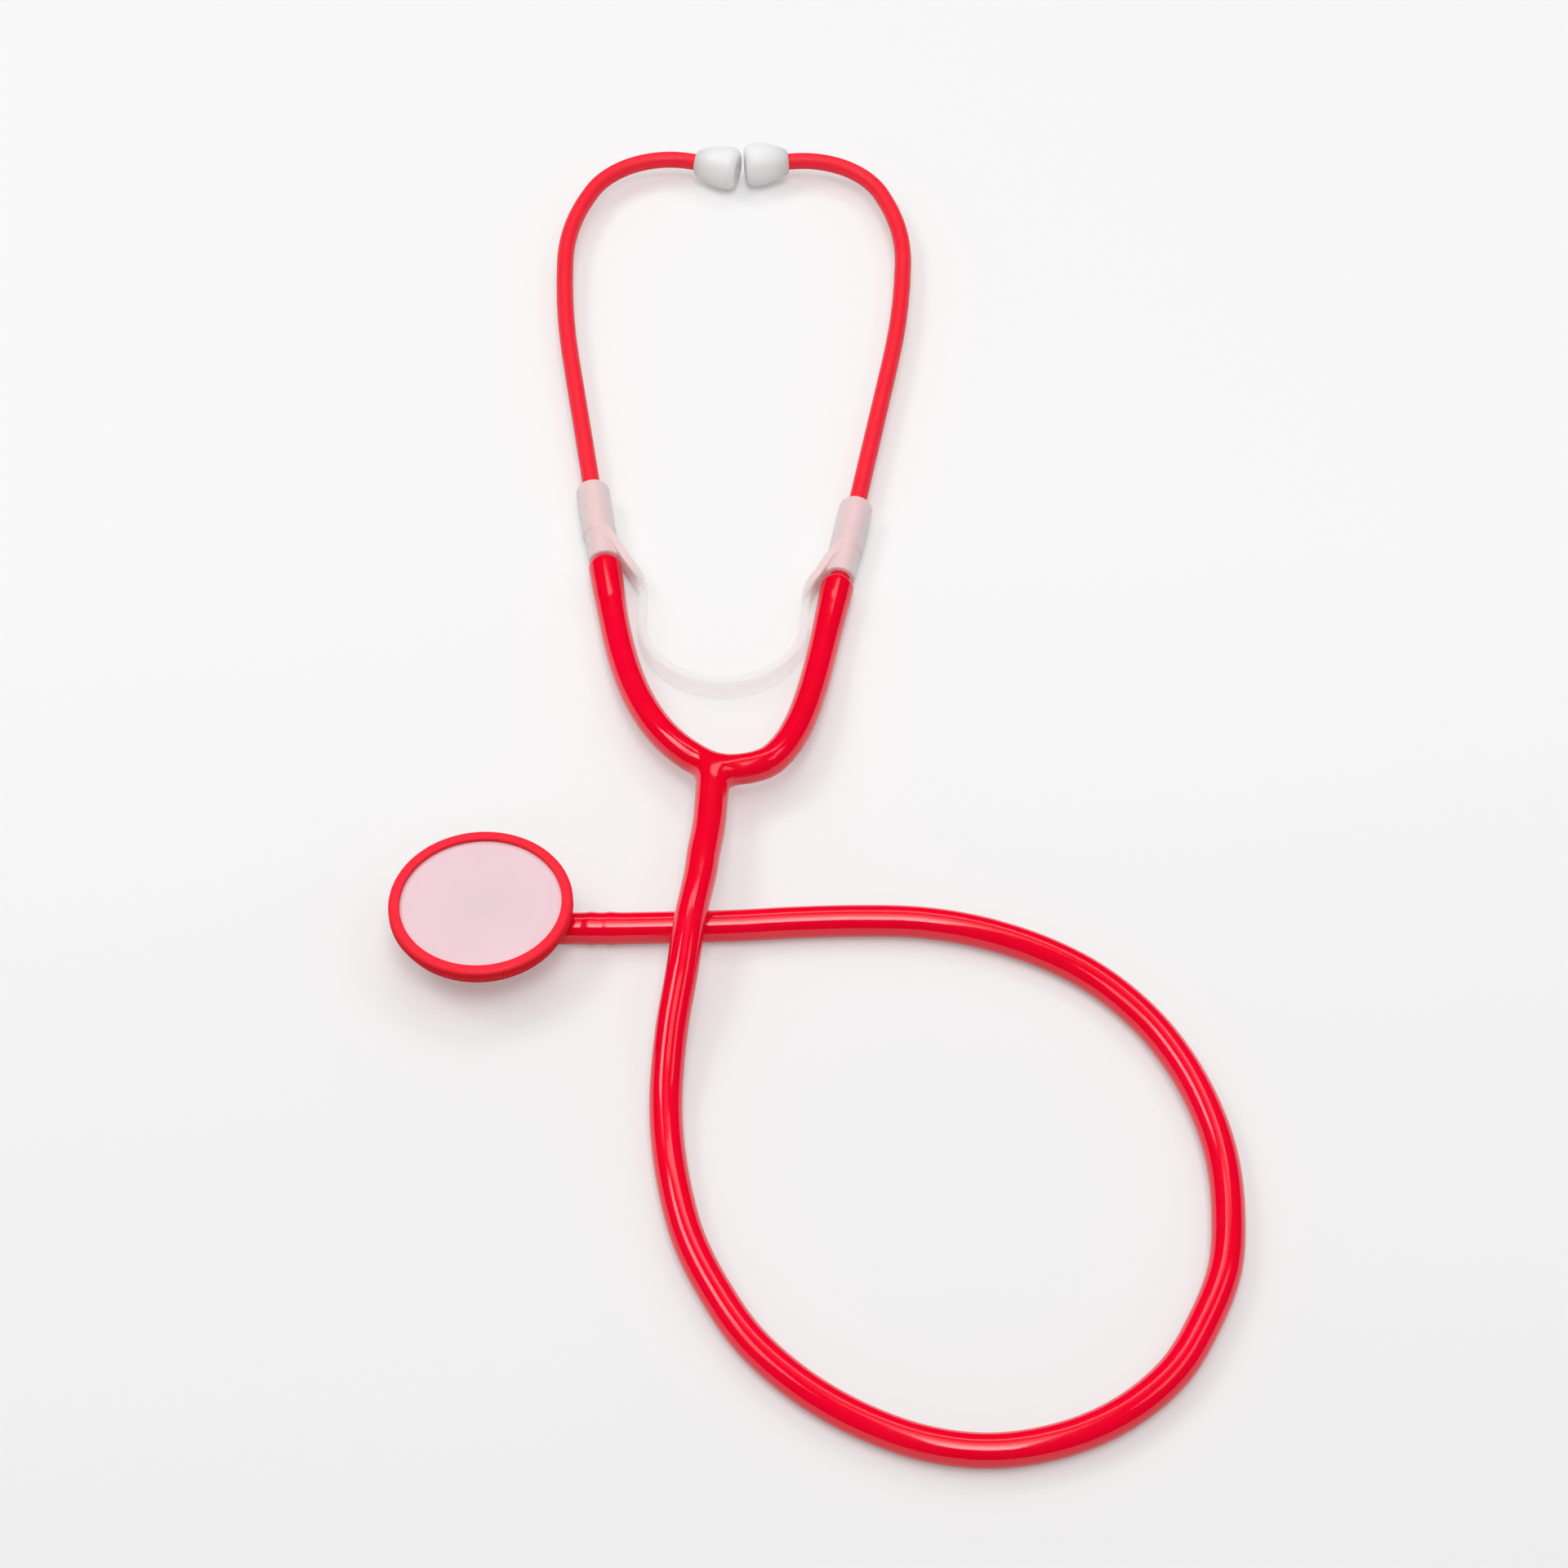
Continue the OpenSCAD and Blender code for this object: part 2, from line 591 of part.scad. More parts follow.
// Retaining ring with its milled band, bevelled shoulder and inner lip
module retaining_ring() {
    band = ring_h - lip_bevel_h;
    color("red") translate([chest_at[0], chest_at[1], ring_low]) difference() {
        union() {
            linear_extrude(band) polygon([for (i = [0:2 * mill_teeth - 1])
                let (a = 180 * i / mill_teeth, r = ring_r - mill_depth * (i % 2))
                [r * cos(a), r * sin(a)]]);
            translate([0, 0, band])
                cylinder(h = lip_bevel_h, r1 = ring_r - mill_depth - mill_ledge,
                         r2 = ring_r - lip_bevel_w, $fn = 180);
        }
        translate([0, 0, -over]) cylinder(h = ring_h + 2 * over, r = window_r, $fn = 180);
        translate([0, 0, -over])
            cylinder(h = lip_low - ring_low + over, r = spigot_r + thread_fit, $fn = 180);
        translate([0, 0, ring_h - lip_inner_bevel])
            cylinder(h = lip_inner_bevel + rest_gap, r1 = window_r,
                     r2 = window_r + lip_inner_bevel, $fn = 180);
    }
}

module diaphragm() {
    color("lavenderblush") translate([chest_at[0], chest_at[1], spigot_top + film_gap])
        cylinder(h = film_t, r = film_r, $fn = 180);
}

ear_tip(-1);  // left_ear_tip
ear_tip(1);  // right_ear_tip
ear_tube(-1);  // left_ear_tube
ear_tube(1);  // right_ear_tube
sleeve(-1);  // left_sleeve
sleeve(1);  // right_sleeve
bridge_strap();
arm(-1);  // left_arm
arm(1);  // right_arm
y_yoke();
tubing();
chest_cup();
retaining_ring();
diaphragm();
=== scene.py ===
"""Toy stethoscope: the visible pieces, their materials, light and camera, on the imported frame.

Lengths in the tables are millimetres, as in the construction, and become metres in the meshes.
A side is -1 for the left and 1 for the right. A leg is a straight length, a turn in degrees and
the turn's radius.
"""
import math

import bmesh
import bpy
import numpy as np
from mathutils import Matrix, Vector


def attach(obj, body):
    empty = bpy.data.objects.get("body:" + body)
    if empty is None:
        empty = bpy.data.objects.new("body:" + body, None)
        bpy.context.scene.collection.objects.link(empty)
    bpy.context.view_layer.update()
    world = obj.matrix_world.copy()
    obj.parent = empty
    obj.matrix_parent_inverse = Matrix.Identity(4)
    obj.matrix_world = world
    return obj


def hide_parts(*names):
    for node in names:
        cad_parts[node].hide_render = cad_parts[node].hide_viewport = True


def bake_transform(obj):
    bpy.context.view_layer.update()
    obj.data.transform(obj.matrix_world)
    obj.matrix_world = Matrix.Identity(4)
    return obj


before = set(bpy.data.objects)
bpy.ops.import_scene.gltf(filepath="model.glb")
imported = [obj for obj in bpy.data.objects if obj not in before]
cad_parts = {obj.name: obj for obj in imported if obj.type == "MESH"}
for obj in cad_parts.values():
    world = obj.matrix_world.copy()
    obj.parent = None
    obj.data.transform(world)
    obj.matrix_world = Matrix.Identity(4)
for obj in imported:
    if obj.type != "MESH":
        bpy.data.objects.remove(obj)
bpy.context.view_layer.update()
MM = 0.001
UPWARD = (0.0, 0.0, 1.0)
SIDES = ((-1, "left"), (1, "right"))


def linked(name, data):
    """A new object in the scene."""
    obj = bpy.data.objects.new(name, data)
    bpy.context.scene.collection.objects.link(obj)
    return obj


# Camera
cam_data = bpy.data.cameras.new("camera")
cam_data.lens = 81.1
cam_data.sensor_width = 36.0
cam_data.clip_start = 0.05
cam_data.clip_end = 60.0
cam = linked("camera", cam_data)
cam.location = (0.0289, -0.66417, 0.66665)
cam.rotation_euler = (math.radians(41.0), 0.0, 0.0)
bpy.context.scene.camera = cam

# Sizes, in mm
CENTRE = np.array([-0.3, 0.8])   # shifts the whole object so that its box is centred
HEAD_AT = CENTRE + np.array([13.6, -88.7])
LEAN = math.radians(0.83)        # of the whole headset to the right
REST_GAP = 0.02                  # clearance under what lies on the floor
MEET_GAP = 0.15                  # half the gap between the two ear tips
SLIP = 0.02                      # radial clearance of an ear tube in its soft pieces

TUBE_R, EAR_R = 3.9, 2.35        # the soft tubing and the ear tubes
LOW_REACH = 62.0                 # from the crotch up to the ear tubes' lower ends
LOW_W = {-1: 30.1, 1: 27.8}      # and out to them, before the ear tips are made to meet
SPLAY = math.radians(9.4)        # of the ear tubes at their lower ends
BOW, SHOULDER = (93.5, 8.0, 280.0), (2.0, 24.0, 67.0)      # legs of an ear tube
TOP_BEND = {-1: (2.0, 75.5 + 6.3, 24.6), 1: (2.0, 75.5, 24.6)}
TIP_STANDOFF = 1.3               # straight end of an ear tube before its tip

TIP_LEN, TIP_R, TIP_BASE_R, TIP_FACE_R, TIP_HOLE_R = 12.6, 6.3, 3.4, 4.2, 1.4
TIP_WIDEST = TIP_LEN * 0.79
TIP_GRIP, END_PLAY = 7.0, 0.4    # depth of the socket in a tip, and what its tube leaves free
GRIP = {-1: 13.8, 1: 7.4}        # length of ear tube in its arm
SLEEVE_R = EAR_R + 0.03 + 2.1    # over the clearance and the wall
STRAP_U_LEFT, STRAP_BOTTOM = 0.8, 32.4    # the lowest point of the strap's U

CROTCH = (2.6, -0.3, 9.3)        # its middle, in the headset's axes
YOKE_SLOPE = math.radians(3.8)   # down towards the ear tubes
HALVES = {-1: [(1.0, 39.0, 9.4), (4.0, 0.0, 0.0)], 1: [(1.0, 45.0, 12.0)]}    # its legs
STEM_LEFT = 4.3                  # the stem leaves the crotch left of its middle
STEM_STRAIGHT = 3.2              # and runs straight for this far
STEM_SWELL, STEM_LONG = 0.24, 26.0    # it is a little thicker, and thins out along the tube
ARM_LEADS = {-1: (19.5, 18.0), 1: (12.5, 25.0)}    # pull of an arm's curve at its two ends
ARM_SWELL, SWELL_LONG = 0.45, 24.0    # of an arm over its ear tube, and how far it reaches
LIP = 1.75                       # the rounding of an arm's mouth
NIP, NIP_BELOW, NIP_LONG = 0.05, 1.6, 1.3      # the arm draws in below its ear tube
BARBS, BARB_SWELL, BARB_LONG = (6.0, 10.8), 0.22, 1.1    # from the tube's end

CHEST_H, RING_H, RING_R, WINDOW_R = 14.5, 3.1, 22.0, 19.3    # and the ring's window
BACK_R, BACK_EDGE = 12.5, 0.8    # the flat back and the rounding of its edge
CUP_R, SPIGOT_R, DISH_R, HOLE_R, DISH_DEEP = 21.1, 20.0, 18.4, 2.8, 3.2
RIM_H, RING_PLAY = 1.3, 0.1      # the cup's rim under the ring, and the gap between them
BOSS_FROM, BOSS_REACH = 8.0, 20.0    # the boss along the tube, from the middle of the cup
LIP_T, FILM_T, FILM_R = 1.1, 0.35, 19.9    # the ring's inner lip and the film under it
FILM_UP = CHEST_H - 1.2          # where the film's shading is centred
TEETH, MILL_DEPTH = 240, 0.22    # grooves of the ring's milled band

# the long tube: x, y and lift off the floor
ROUTE = [
    (10.5, -111.5, 6.8), (9.7, -118, 7.5), (9, -125, 8), (7, -138, 8.4), (5.2, -153, 6.8),
    (3, -168, 3.6), (2, -183, 0.8), (2.5, -196, 0), (4.5, -210, 0), (8, -224, 0),
    (14, -237.5, 0), (22, -250.5, 0), (33.5, -262, 0), (46.5, -270.5, 0), (60.5, -276, 0),
    (75, -277.5, 0), (90, -274.5, 0), (103, -268, 0), (114, -258, 0), (121.5, -245.5, 0),
    (127, -232, 0), (129, -218, 0), (129, -203, 0), (126.5, -189, 0), (121.5, -175, 0),
    (114, -162, 0), (103.5, -150.5, 0), (91, -142, 0), (76.5, -136, 0), (62, -133, 0),
    (47, -132.5, 0), (32, -133, 0), (17, -134, 0), (2, -134.5, 0), (-11, -134.8, 0),
    (-23, -134.8, 0)]
AXIS = np.array([[CENTRE[0] + x, CENTRE[1] + y, z + TUBE_R] for x, y, z in ROUTE])
CHEST_AT = np.array([AXIS[-1][0] - BOSS_REACH, AXIS[-1][1], 0.0])

# fineness of the meshes, and passes over them
ROUND = 56                       # sides of a soft tube
CROTCH_VOXEL, BRIDGE_VOXEL = 0.42, 0.27
EASE_PASSES, DRAW_PASSES, EVEN_PASSES = 40, 14, 60
SHARP = math.radians(55)         # an edge that turns more is shaded as an edge


# Places on the headset
def leg_end(p, leg):
    """The end of a leg from a place and heading."""
    length, turn, radius = leg
    qx, qy = p[0] - length * math.sin(p[2]), p[1] + length * math.cos(p[2])
    r = -radius if turn < 0 else radius
    b = p[2] + math.radians(turn)
    return (qx - r * math.cos(p[2]) + r * math.cos(b),
            qy - r * math.sin(p[2]) + r * math.sin(b), b)


def leg_points(p, legs, step, turn_step):
    """Points along legs, as x, y and heading."""
    out = [p]
    for length, turn, radius in legs:
        if length > 0:
            n = max(1, int(round(length / step)))
            out += [leg_end(p, (length * i / n, 0, 0)) for i in range(1, n + 1)]
            p = out[-1]
        if turn:
            n = max(2, int(round(abs(turn) / turn_step)))
            out += [leg_end(p, (0, turn * i / n, radius)) for i in range(1, n + 1)]
            p = out[-1]
    return out


def ear_legs(side, last=0.0):
    return [BOW, SHOULDER, TOP_BEND[side], (TIP_STANDOFF + last, 0.0, 0.0)]


def run_end(p, legs):
    for leg in legs:
        p = leg_end(p, leg)
    return p


def tip_reach(a):
    """How far an ear tip at heading a reaches towards the other one."""
    return (TIP_WIDEST * math.sin(a) - TIP_FACE_R * math.cos(a)
            + math.hypot((TIP_LEN - TIP_WIDEST) * math.sin(a),
                         (TIP_R - TIP_FACE_R) * math.cos(a)))


def ear_start(side):
    w = LOW_W[side]
    e = run_end((w, LOW_REACH, -SPLAY), ear_legs(side))
    return (w - e[0] + tip_reach(e[2]) + MEET_GAP, LOW_REACH, -SPLAY)


def ear_end(side):
    return run_end(ear_start(side), ear_legs(side))


LOW_UP = SLEEVE_R + REST_GAP - SLEEVE_R * (1 - math.cos(SPLAY))
TIP_UP = TIP_R + 2 * REST_GAP
SLOPE = math.asin((TIP_UP - LOW_UP) / (ear_end(1)[1] - LOW_REACH))


def on_headset(u, v, up=0.0):
    """A point of the headset's sloping plane, and up above it, in its own axes."""
    return np.array([u, LOW_REACH + (v - LOW_REACH) * math.cos(SLOPE) - up * math.sin(SLOPE),
                     LOW_UP + (v - LOW_REACH) * math.sin(SLOPE) + up * math.cos(SLOPE)])


def on_yoke(x, y, up=0.0):
    """A point of the crotch's sloping plane, and up above it, in the headset's axes."""
    return np.array([CROTCH[0] + x,
                     CROTCH[1] + y * math.cos(YOKE_SLOPE) + up * math.sin(YOKE_SLOPE),
                     CROTCH[2] - y * math.sin(YOKE_SLOPE) + up * math.cos(YOKE_SLOPE)])


def placed(p):
    """From the headset's axes to the object's."""
    c, s = math.cos(LEAN), math.sin(LEAN)
    return np.array([HEAD_AT[0] + p[0] * c + p[1] * s, HEAD_AT[1] - p[0] * s + p[1] * c, p[2]])


def unit(v):
    return np.asarray(v, float) / np.linalg.norm(v)


def smooth01(t):
    t = np.clip(t, 0.0, 1.0)
    return t * t * (3 - 2 * t)


# Mesh tools
def catmull(points, per):
    """A smooth line through the points, per points to each stretch."""
    p = np.vstack([2 * points[0] - points[1], points, 2 * points[-1] - points[-2]])
    out = []
    for i in range(1, len(p) - 2):
        a, b, c, d = p[i - 1], p[i], p[i + 1], p[i + 2]
        for k in range(per):
            t = k / per
            out.append(0.5 * (2 * b + (c - a) * t + (2 * a - 5 * b + 4 * c - d) * t * t
                              + (3 * b - a - 3 * c + d) * t ** 3))
    out.append(p[-2])
    return np.array(out)


def lengths(points):
    return np.concatenate([[0.0], np.cumsum(np.linalg.norm(np.diff(points, axis=0), axis=1))])


def tube_rings(axis, radii, sides):
    """Rings round an axis, turned along it without twist."""
    tangents = np.gradient(axis, axis=0)
    tangents /= np.linalg.norm(tangents, axis=1)[:, None]
    side = unit(np.cross(UPWARD, tangents[0]))
    angles = np.linspace(0, 2 * math.pi, sides, endpoint=False)
    across, up = np.cos(angles)[:, None], np.sin(angles)[:, None]
    rings = []
    for centre, tangent, r in zip(axis, tangents, radii):
        side = unit(side - tangent * np.dot(side, tangent))
        other = np.cross(tangent, side)
        rings.append(centre + r * (across * side + up * other))
    return rings


def revolve(profile, at, direction, sides, wave=None):
    """Rings of a profile of (radius, distance) turned round an axis. wave(angle, row) adds to
    the radius."""
    onward = unit(direction)
    level = (0.0, 1.0, 0.0) if abs(np.dot(onward, UPWARD)) > 0.9 else UPWARD
    side = unit(np.cross(level, onward))
    other = np.cross(onward, side)
    angles = np.linspace(0, 2 * math.pi, sides, endpoint=False)
    rings = []
    for row, (r, z) in enumerate(profile):
        radii = r + (wave(angles, row) if wave else 0.0) * np.ones_like(angles)
        rings.append(np.asarray(at) + z * onward
                     + (radii * np.cos(angles))[:, None] * side
                     + (radii * np.sin(angles))[:, None] * other)
    return rings


def skin(rings, close_start=False, close_end=False):
    """Points and faces over a row of rings."""
    n, k = len(rings[0]), len(rings)
    verts = [tuple(v) for ring in rings for v in ring]
    faces = [(j * n + i, j * n + (i + 1) % n, (j + 1) * n + (i + 1) % n, (j + 1) * n + i)
             for j in range(k - 1) for i in range(n)]
    if close_start:
        verts.append(tuple(np.mean(rings[0], axis=0)))
        faces += [(len(verts) - 1, (i + 1) % n, i) for i in range(n)]
    if close_end:
        verts.append(tuple(np.mean(rings[-1], axis=0)))
        faces += [(len(verts) - 1, (k - 1) * n + i, (k - 1) * n + (i + 1) % n)
                  for i in range(n)]
    return verts, faces


def joined(parts):
    """Several skins as one."""
    verts, faces = [], []
    for v, f in parts:
        base = len(verts)
        verts += list(v)
        faces += [tuple(i + base for i in g) for g in f]
    return verts, faces


def edit(mesh, change, into=None):
    """Runs change on a mesh and writes it back, or into another mesh."""
    bm = bmesh.new()
    bm.from_mesh(mesh)
    change(bm)
    bm.to_mesh(into or mesh)
    bm.free()


def turn_out(bm):
    """Faces outward, and the sharp edges marked."""
    bmesh.ops.recalc_face_normals(bm, faces=bm.faces)
    for e in bm.edges:
        if len(e.link_faces) == 2 and e.calc_face_angle(0.0) > SHARP:
            e.smooth = False


def new_piece(name, verts, faces):
    mesh = bpy.data.meshes.new(name)
    mesh.from_pydata([tuple(c * MM for c in v) for v in verts], [], faces)
    mesh.update()
    edit(mesh, turn_out)
    mesh.shade_smooth()
    return linked(name, mesh)


def remesh(obj, voxel):
    """One closed skin in place of all the pieces that an object holds."""
    mod = obj.modifiers.new("remesh", "REMESH")
    mod.mode = "VOXEL"
    mod.voxel_size = voxel
    mod.adaptivity = 0.0
    finished = obj.evaluated_get(bpy.context.evaluated_depsgraph_get())
    mesh = bpy.data.meshes.new_from_object(finished)
    obj.modifiers.clear()
    old = obj.data
    obj.data = mesh
    mesh.name = obj.name
    bpy.data.meshes.remove(old)


def points_of(mesh):
    """A mesh's points in mm."""
    numbers = np.zeros(len(mesh.vertices) * 3)
    mesh.vertices.foreach_get("co", numbers)
    return numbers.reshape(-1, 3) / MM


def move_points(mesh, points):
    mesh.vertices.foreach_set("co", (points * MM).ravel())
    mesh.update()


# Materials
NOISE = (0.3, 0.7)               # the range that most of a noise lies in


class Nodes:
    """Short calls for a material's node tree."""

    def __init__(self, name):
        self.mat = bpy.data.materials.new(name)
        self.mat.use_nodes = True
        self.tree = self.mat.node_tree
        self.tree.nodes.clear()
        self.out = self.add("ShaderNodeOutputMaterial")
        self.shader = self.add("ShaderNodeBsdfPrincipled")
        self.link(self.shader.outputs["BSDF"], self.out.inputs["Surface"])
        self.place = self.add("ShaderNodeTexCoord").outputs["Object"]

    def add(self, kind, **values):
        node = self.tree.nodes.new(kind)
        for k, v in values.items():
            setattr(node, k, v)
        return node

    def link(self, a, b):
        self.tree.links.new(a, b)

    def put(self, socket, value):
        """A link from another node's socket, or a plain value."""
        if isinstance(value, bpy.types.NodeSocket):
            self.link(value, socket)
        elif isinstance(value, tuple) and socket.type == "RGBA":
            socket.default_value = (*value, 1.0)
        else:
            socket.default_value = value

    def noise(self, scale, detail=3.0, rough=0.5):
        node = self.add("ShaderNodeTexNoise")
        node.inputs["Scale"].default_value = scale
        node.inputs["Detail"].default_value = detail
        node.inputs["Roughness"].default_value = rough
        self.link(self.place, node.inputs["Vector"])
        return node.outputs["Fac"]

    def span(self, value, a, b, c=0.0, d=1.0):
        """A value from a..b brought to c..d."""
        node = self.add("ShaderNodeMapRange")
        for key, x in zip(("From Min", "From Max", "To Min", "To Max"), (a, b, c, d)):
            node.inputs[key].default_value = x
        self.link(value, node.inputs["Value"])
        return node.outputs["Result"]

    def mix(self, factor, a, b):
        node = self.add("ShaderNodeMix", data_type="RGBA")
        self.link(factor, node.inputs["Factor"])
        for key, x in (("A", a), ("B", b)):
            self.put([s for s in node.inputs if s.name == key and s.type == "RGBA"][0], x)
        return [s for s in node.outputs if s.type == "RGBA"][0]

    def clouded(self, noise, a, b):
        """From colour a to colour b with a noise."""
        return self.mix(self.span(noise, *NOISE), a, b)

    def calc(self, operation, *terms):
        node = self.add("ShaderNodeMath", operation=operation)
        for socket, term in zip(node.inputs, terms):
            self.put(socket, term)
        return node.outputs[0]

    def against(self, operation, point):
        """A vector operation of the place with a fixed point."""
        node = self.add("ShaderNodeVectorMath", operation=operation)
        self.link(self.place, node.inputs[0])
        node.inputs[1].default_value = point
        return node

    def xyz(self, vector):
        node = self.add("ShaderNodeSeparateXYZ")
        self.link(vector, node.inputs[0])
        return tuple(node.outputs)

    def bump(self, height, strength, distance, before=None):
        node = self.add("ShaderNodeBump")
        node.inputs["Strength"].default_value = strength
        node.inputs["Distance"].default_value = distance
        self.link(height, node.inputs["Height"])
        if before is not None:
            self.link(before, node.inputs["Normal"])
        return node.outputs["Normal"]

    def set(self, **values):
        for key, value in values.items():
            self.put(self.shader.inputs[key.replace("_", " ")], value)


def soft_red():
    """Glossy soft tube: deep red, slow waves in the skin, a fine dulling of the gloss."""
    m = Nodes("soft_red_tube")
    slow = m.noise(38.0, 2.0)
    fine = m.noise(900.0, 3.0, 0.6)
    smear = m.noise(140.0, 4.0, 0.62)
    m.set(
        Base_Color=m.clouded(slow, (0.97, 0.0012, 0.030), (0.90, 0.0008, 0.022)),
        Roughness=m.span(smear, 0.3, 0.72, 0.07, 0.14),
        Normal=m.bump(fine, 0.03, 0.0002, m.bump(slow, 0.15, 0.0006)),
        Specular_IOR_Level=0.5,
        Coat_Weight=0.15, Coat_Roughness=0.06)
    return m.mat


def hard_red(name, deep_below=None, dull=(0.40, 0.52)):
    """Moulded hard plastic: lighter red with a satin bloom and faint flow marks. Below a height
    it is deeper, and darkest in the milled grooves, where the darkening is painted shade."""
    m = Nodes(name)
    slow = m.noise(60.0, 2.0)
    fine = m.noise(1500.0, 3.0, 0.6)
    flow = m.noise(260.0, 4.0, 0.6)
    red = m.clouded(slow, (1.0, 0.009, 0.034), (0.96, 0.006, 0.028))
    shine = 0.40
    if deep_below:
        height = m.xyz(m.place)[2]
        deep = m.span(height, deep_below - 0.3 * MM, deep_below, 1.0, 0.0)
        off = m.against("SUBTRACT", (CHEST_AT[0] * MM, CHEST_AT[1] * MM, 0.0))
        x, y, _ = m.xyz(off.outputs["Vector"])
        # painted shade: the colour darkens in each milled groove, which is also cut in the mesh
        tooth = m.calc("COSINE", m.calc("MULTIPLY", m.calc("ARCTAN2", y, x), TEETH))
        groove_shade = m.span(tooth, -0.9, 0.3, 1.0, 0.0)
        red = m.mix(deep, red, m.mix(groove_shade, (1.0, 0.003, 0.020), (0.50, 0.0, 0.006)))
        shine = m.span(deep, 0.0, 1.0, 0.32, 0.12)
    m.set(
        Base_Color=red,
        Roughness=m.span(flow, *NOISE, *dull),
        Normal=m.bump(fine, 0.10, 0.0001),
        Specular_IOR_Level=shine)
    return m.mat


def white_tip():
    """Soft white tip: cool white, satin, with a faint mould texture."""
    m = Nodes("ear_tip_white")
    slow = m.noise(120.0, 3.0)
    fine = m.noise(2200.0, 3.0, 0.6)
    m.set(
        Base_Color=m.clouded(slow, (0.98, 0.965, 0.99), (0.95, 0.935, 0.96)),
        Roughness=m.span(m.noise(300.0, 4.0, 0.6), *NOISE, 0.32, 0.45),
        Normal=m.bump(fine, 0.08, 0.0001),
        Subsurface_Weight=0.85, Subsurface_Radius=(1.0, 1.0, 1.0), Subsurface_Scale=0.008)
    return m.mat


def frosted():
    """Frosted see-through plastic: milky, with the red tube's glow through the sleeves painted
    into the colour.
    """
    m = Nodes("bridge_frosted")
    slow = m.noise(90.0, 3.0)
    fine = m.noise(1800.0, 3.0, 0.6)
    edge = m.add("ShaderNodeLayerWeight")
    edge.inputs["Blend"].default_value = 0.5
    rim = m.span(edge.outputs["Facing"], 0.30, 0.75)
    x, y, _ = m.xyz(m.place)
    level = m.calc("MULTIPLY_ADD", x, 0.1, y)    # both sleeves end at one level
    sleeve = m.span(level, -0.0220, -0.0145)
    # painted glow: the red tube seen through the wall is painted in, pink where the wall faces
    # the view and paler at its edges
    tube_glow_painted = m.mix(rim, (1.0, 0.71, 0.715), (1.0, 0.95, 0.945))
    haze = m.mix(rim, (0.82, 0.82, 0.82), (0.66, 0.66, 0.66))
    m.set(
        Base_Color=m.mix(sleeve, (1.0, 0.985, 0.97), tube_glow_painted),
        Roughness=m.span(m.noise(240.0, 4.0, 0.6), *NOISE, 0.26, 0.40),
        Normal=m.bump(fine, 0.10, 0.0001),
        Alpha=m.mix(sleeve, m.span(slow, *NOISE, 0.13, 0.18), haze),
        Subsurface_Weight=0.3, Subsurface_Radius=(1.0, 1.0, 1.0), Subsurface_Scale=0.002)
    return m.mat


def membrane_milk():
    """Milky film over the red dish: pale pink, with painted shade making it a little greyer over
    the middle.
    """
    m = Nodes("membrane_milky")
    off = m.against("DISTANCE", (CHEST_AT[0] * MM, (CHEST_AT[1] - 1.0) * MM, FILM_UP * MM))
    # painted shade of the dish below, darkest over the middle of the film
    dish_shade = m.span(off.outputs["Value"], 0.001, 0.013, 1.0, 0.0)
    cloud = m.noise(110.0, 4.0, 0.55)
    base = m.clouded(cloud, (0.845, 0.620, 0.665), (0.815, 0.598, 0.645))
    m.set(
        Base_Color=m.mix(dish_shade, base, (0.79, 0.590, 0.640)),
        Roughness=m.span(m.noise(420.0, 4.0, 0.6), *NOISE, 0.30, 0.44),
        Normal=m.bump(m.noise(1600.0, 3.0, 0.6), 0.05, 0.0001))
    return m.mat


SOFT_RED = soft_red()
HARD_RED = hard_red("hard_red_tube")
CHEST_RED = hard_red("chest_red", (CHEST_H - 0.5) * MM)
BOSS_RED = hard_red("chest_boss_red", None, (0.10, 0.16))
TIP_WHITE = white_tip()
FROSTED = frosted()
MEMBRANE = membrane_milk()


def dress(obj, material):
    obj.data.materials.clear()
    obj.data.materials.append(material)


# The long tube, a free cord
cord_axis = catmull(AXIS, 8)
cord_s = lengths(cord_axis)
from_end = cord_s[-1] - cord_s
swell = np.zeros(len(cord_axis))
for place in BARBS:              # the stem's barbs stand out a little through the soft wall
    swell += BARB_SWELL * np.exp(-((from_end - place) / BARB_LONG) ** 2)
swell += STEM_SWELL * (1 - smooth01(cord_s / STEM_LONG))
rings = tube_rings(cord_axis, TUBE_R + swell, ROUND)
tubing = new_piece("long_tube", *skin(rings, close_start=True, close_end=True))
dress(tubing, SOFT_RED)
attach(tubing, "frame")
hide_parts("tubing")

# Crotch of the Y and its stem
OVERLAP = 1.2                    # the crotch's bars run this far past its three ends
BAR_MORE = 0.6                   # and are this much thicker before they are drawn to size
BLEND = 3.4                      # over which the crotch and the stem flow into each other
UNDER, FADE = 0.03, 0.6          # the crotch's ends lie a little under the arms and the tube


def crotch_line(side):
    """Axis of one half of the crotch from its middle outward."""
    points = leg_points((0.0, 0.0, math.radians(-90)), HALVES[side], 0.5, 4)
    return [on_yoke(side * p[0], p[1]) for p in points]


def stub_end(side):
    """The end of one half of the crotch and its direction."""
    e = run_end((0.0, 0.0, math.radians(-90)), HALVES[side])
    d = unit(on_yoke(side * -math.sin(e[2]), math.cos(e[2])) - on_yoke(0, 0))
    return on_yoke(side * e[0], e[1]), d


def near_line(points, line):
    """Distance of each point from a line of stretches, and the way away from it."""
    best = np.full(len(points), 1e9)
    away = np.zeros_like(points)
    for a, b in zip(line[:-1], line[1:]):
        ab = b - a
        t = np.clip((points - a) @ ab / (ab @ ab), 0, 1)
        diff = points - (a + t[:, None] * ab)
        dist = np.linalg.norm(diff, axis=1)
        closer = dist < best
        best[closer] = dist[closer]
        away[closer] = diff[closer] / dist[closer][:, None]
    return best, away


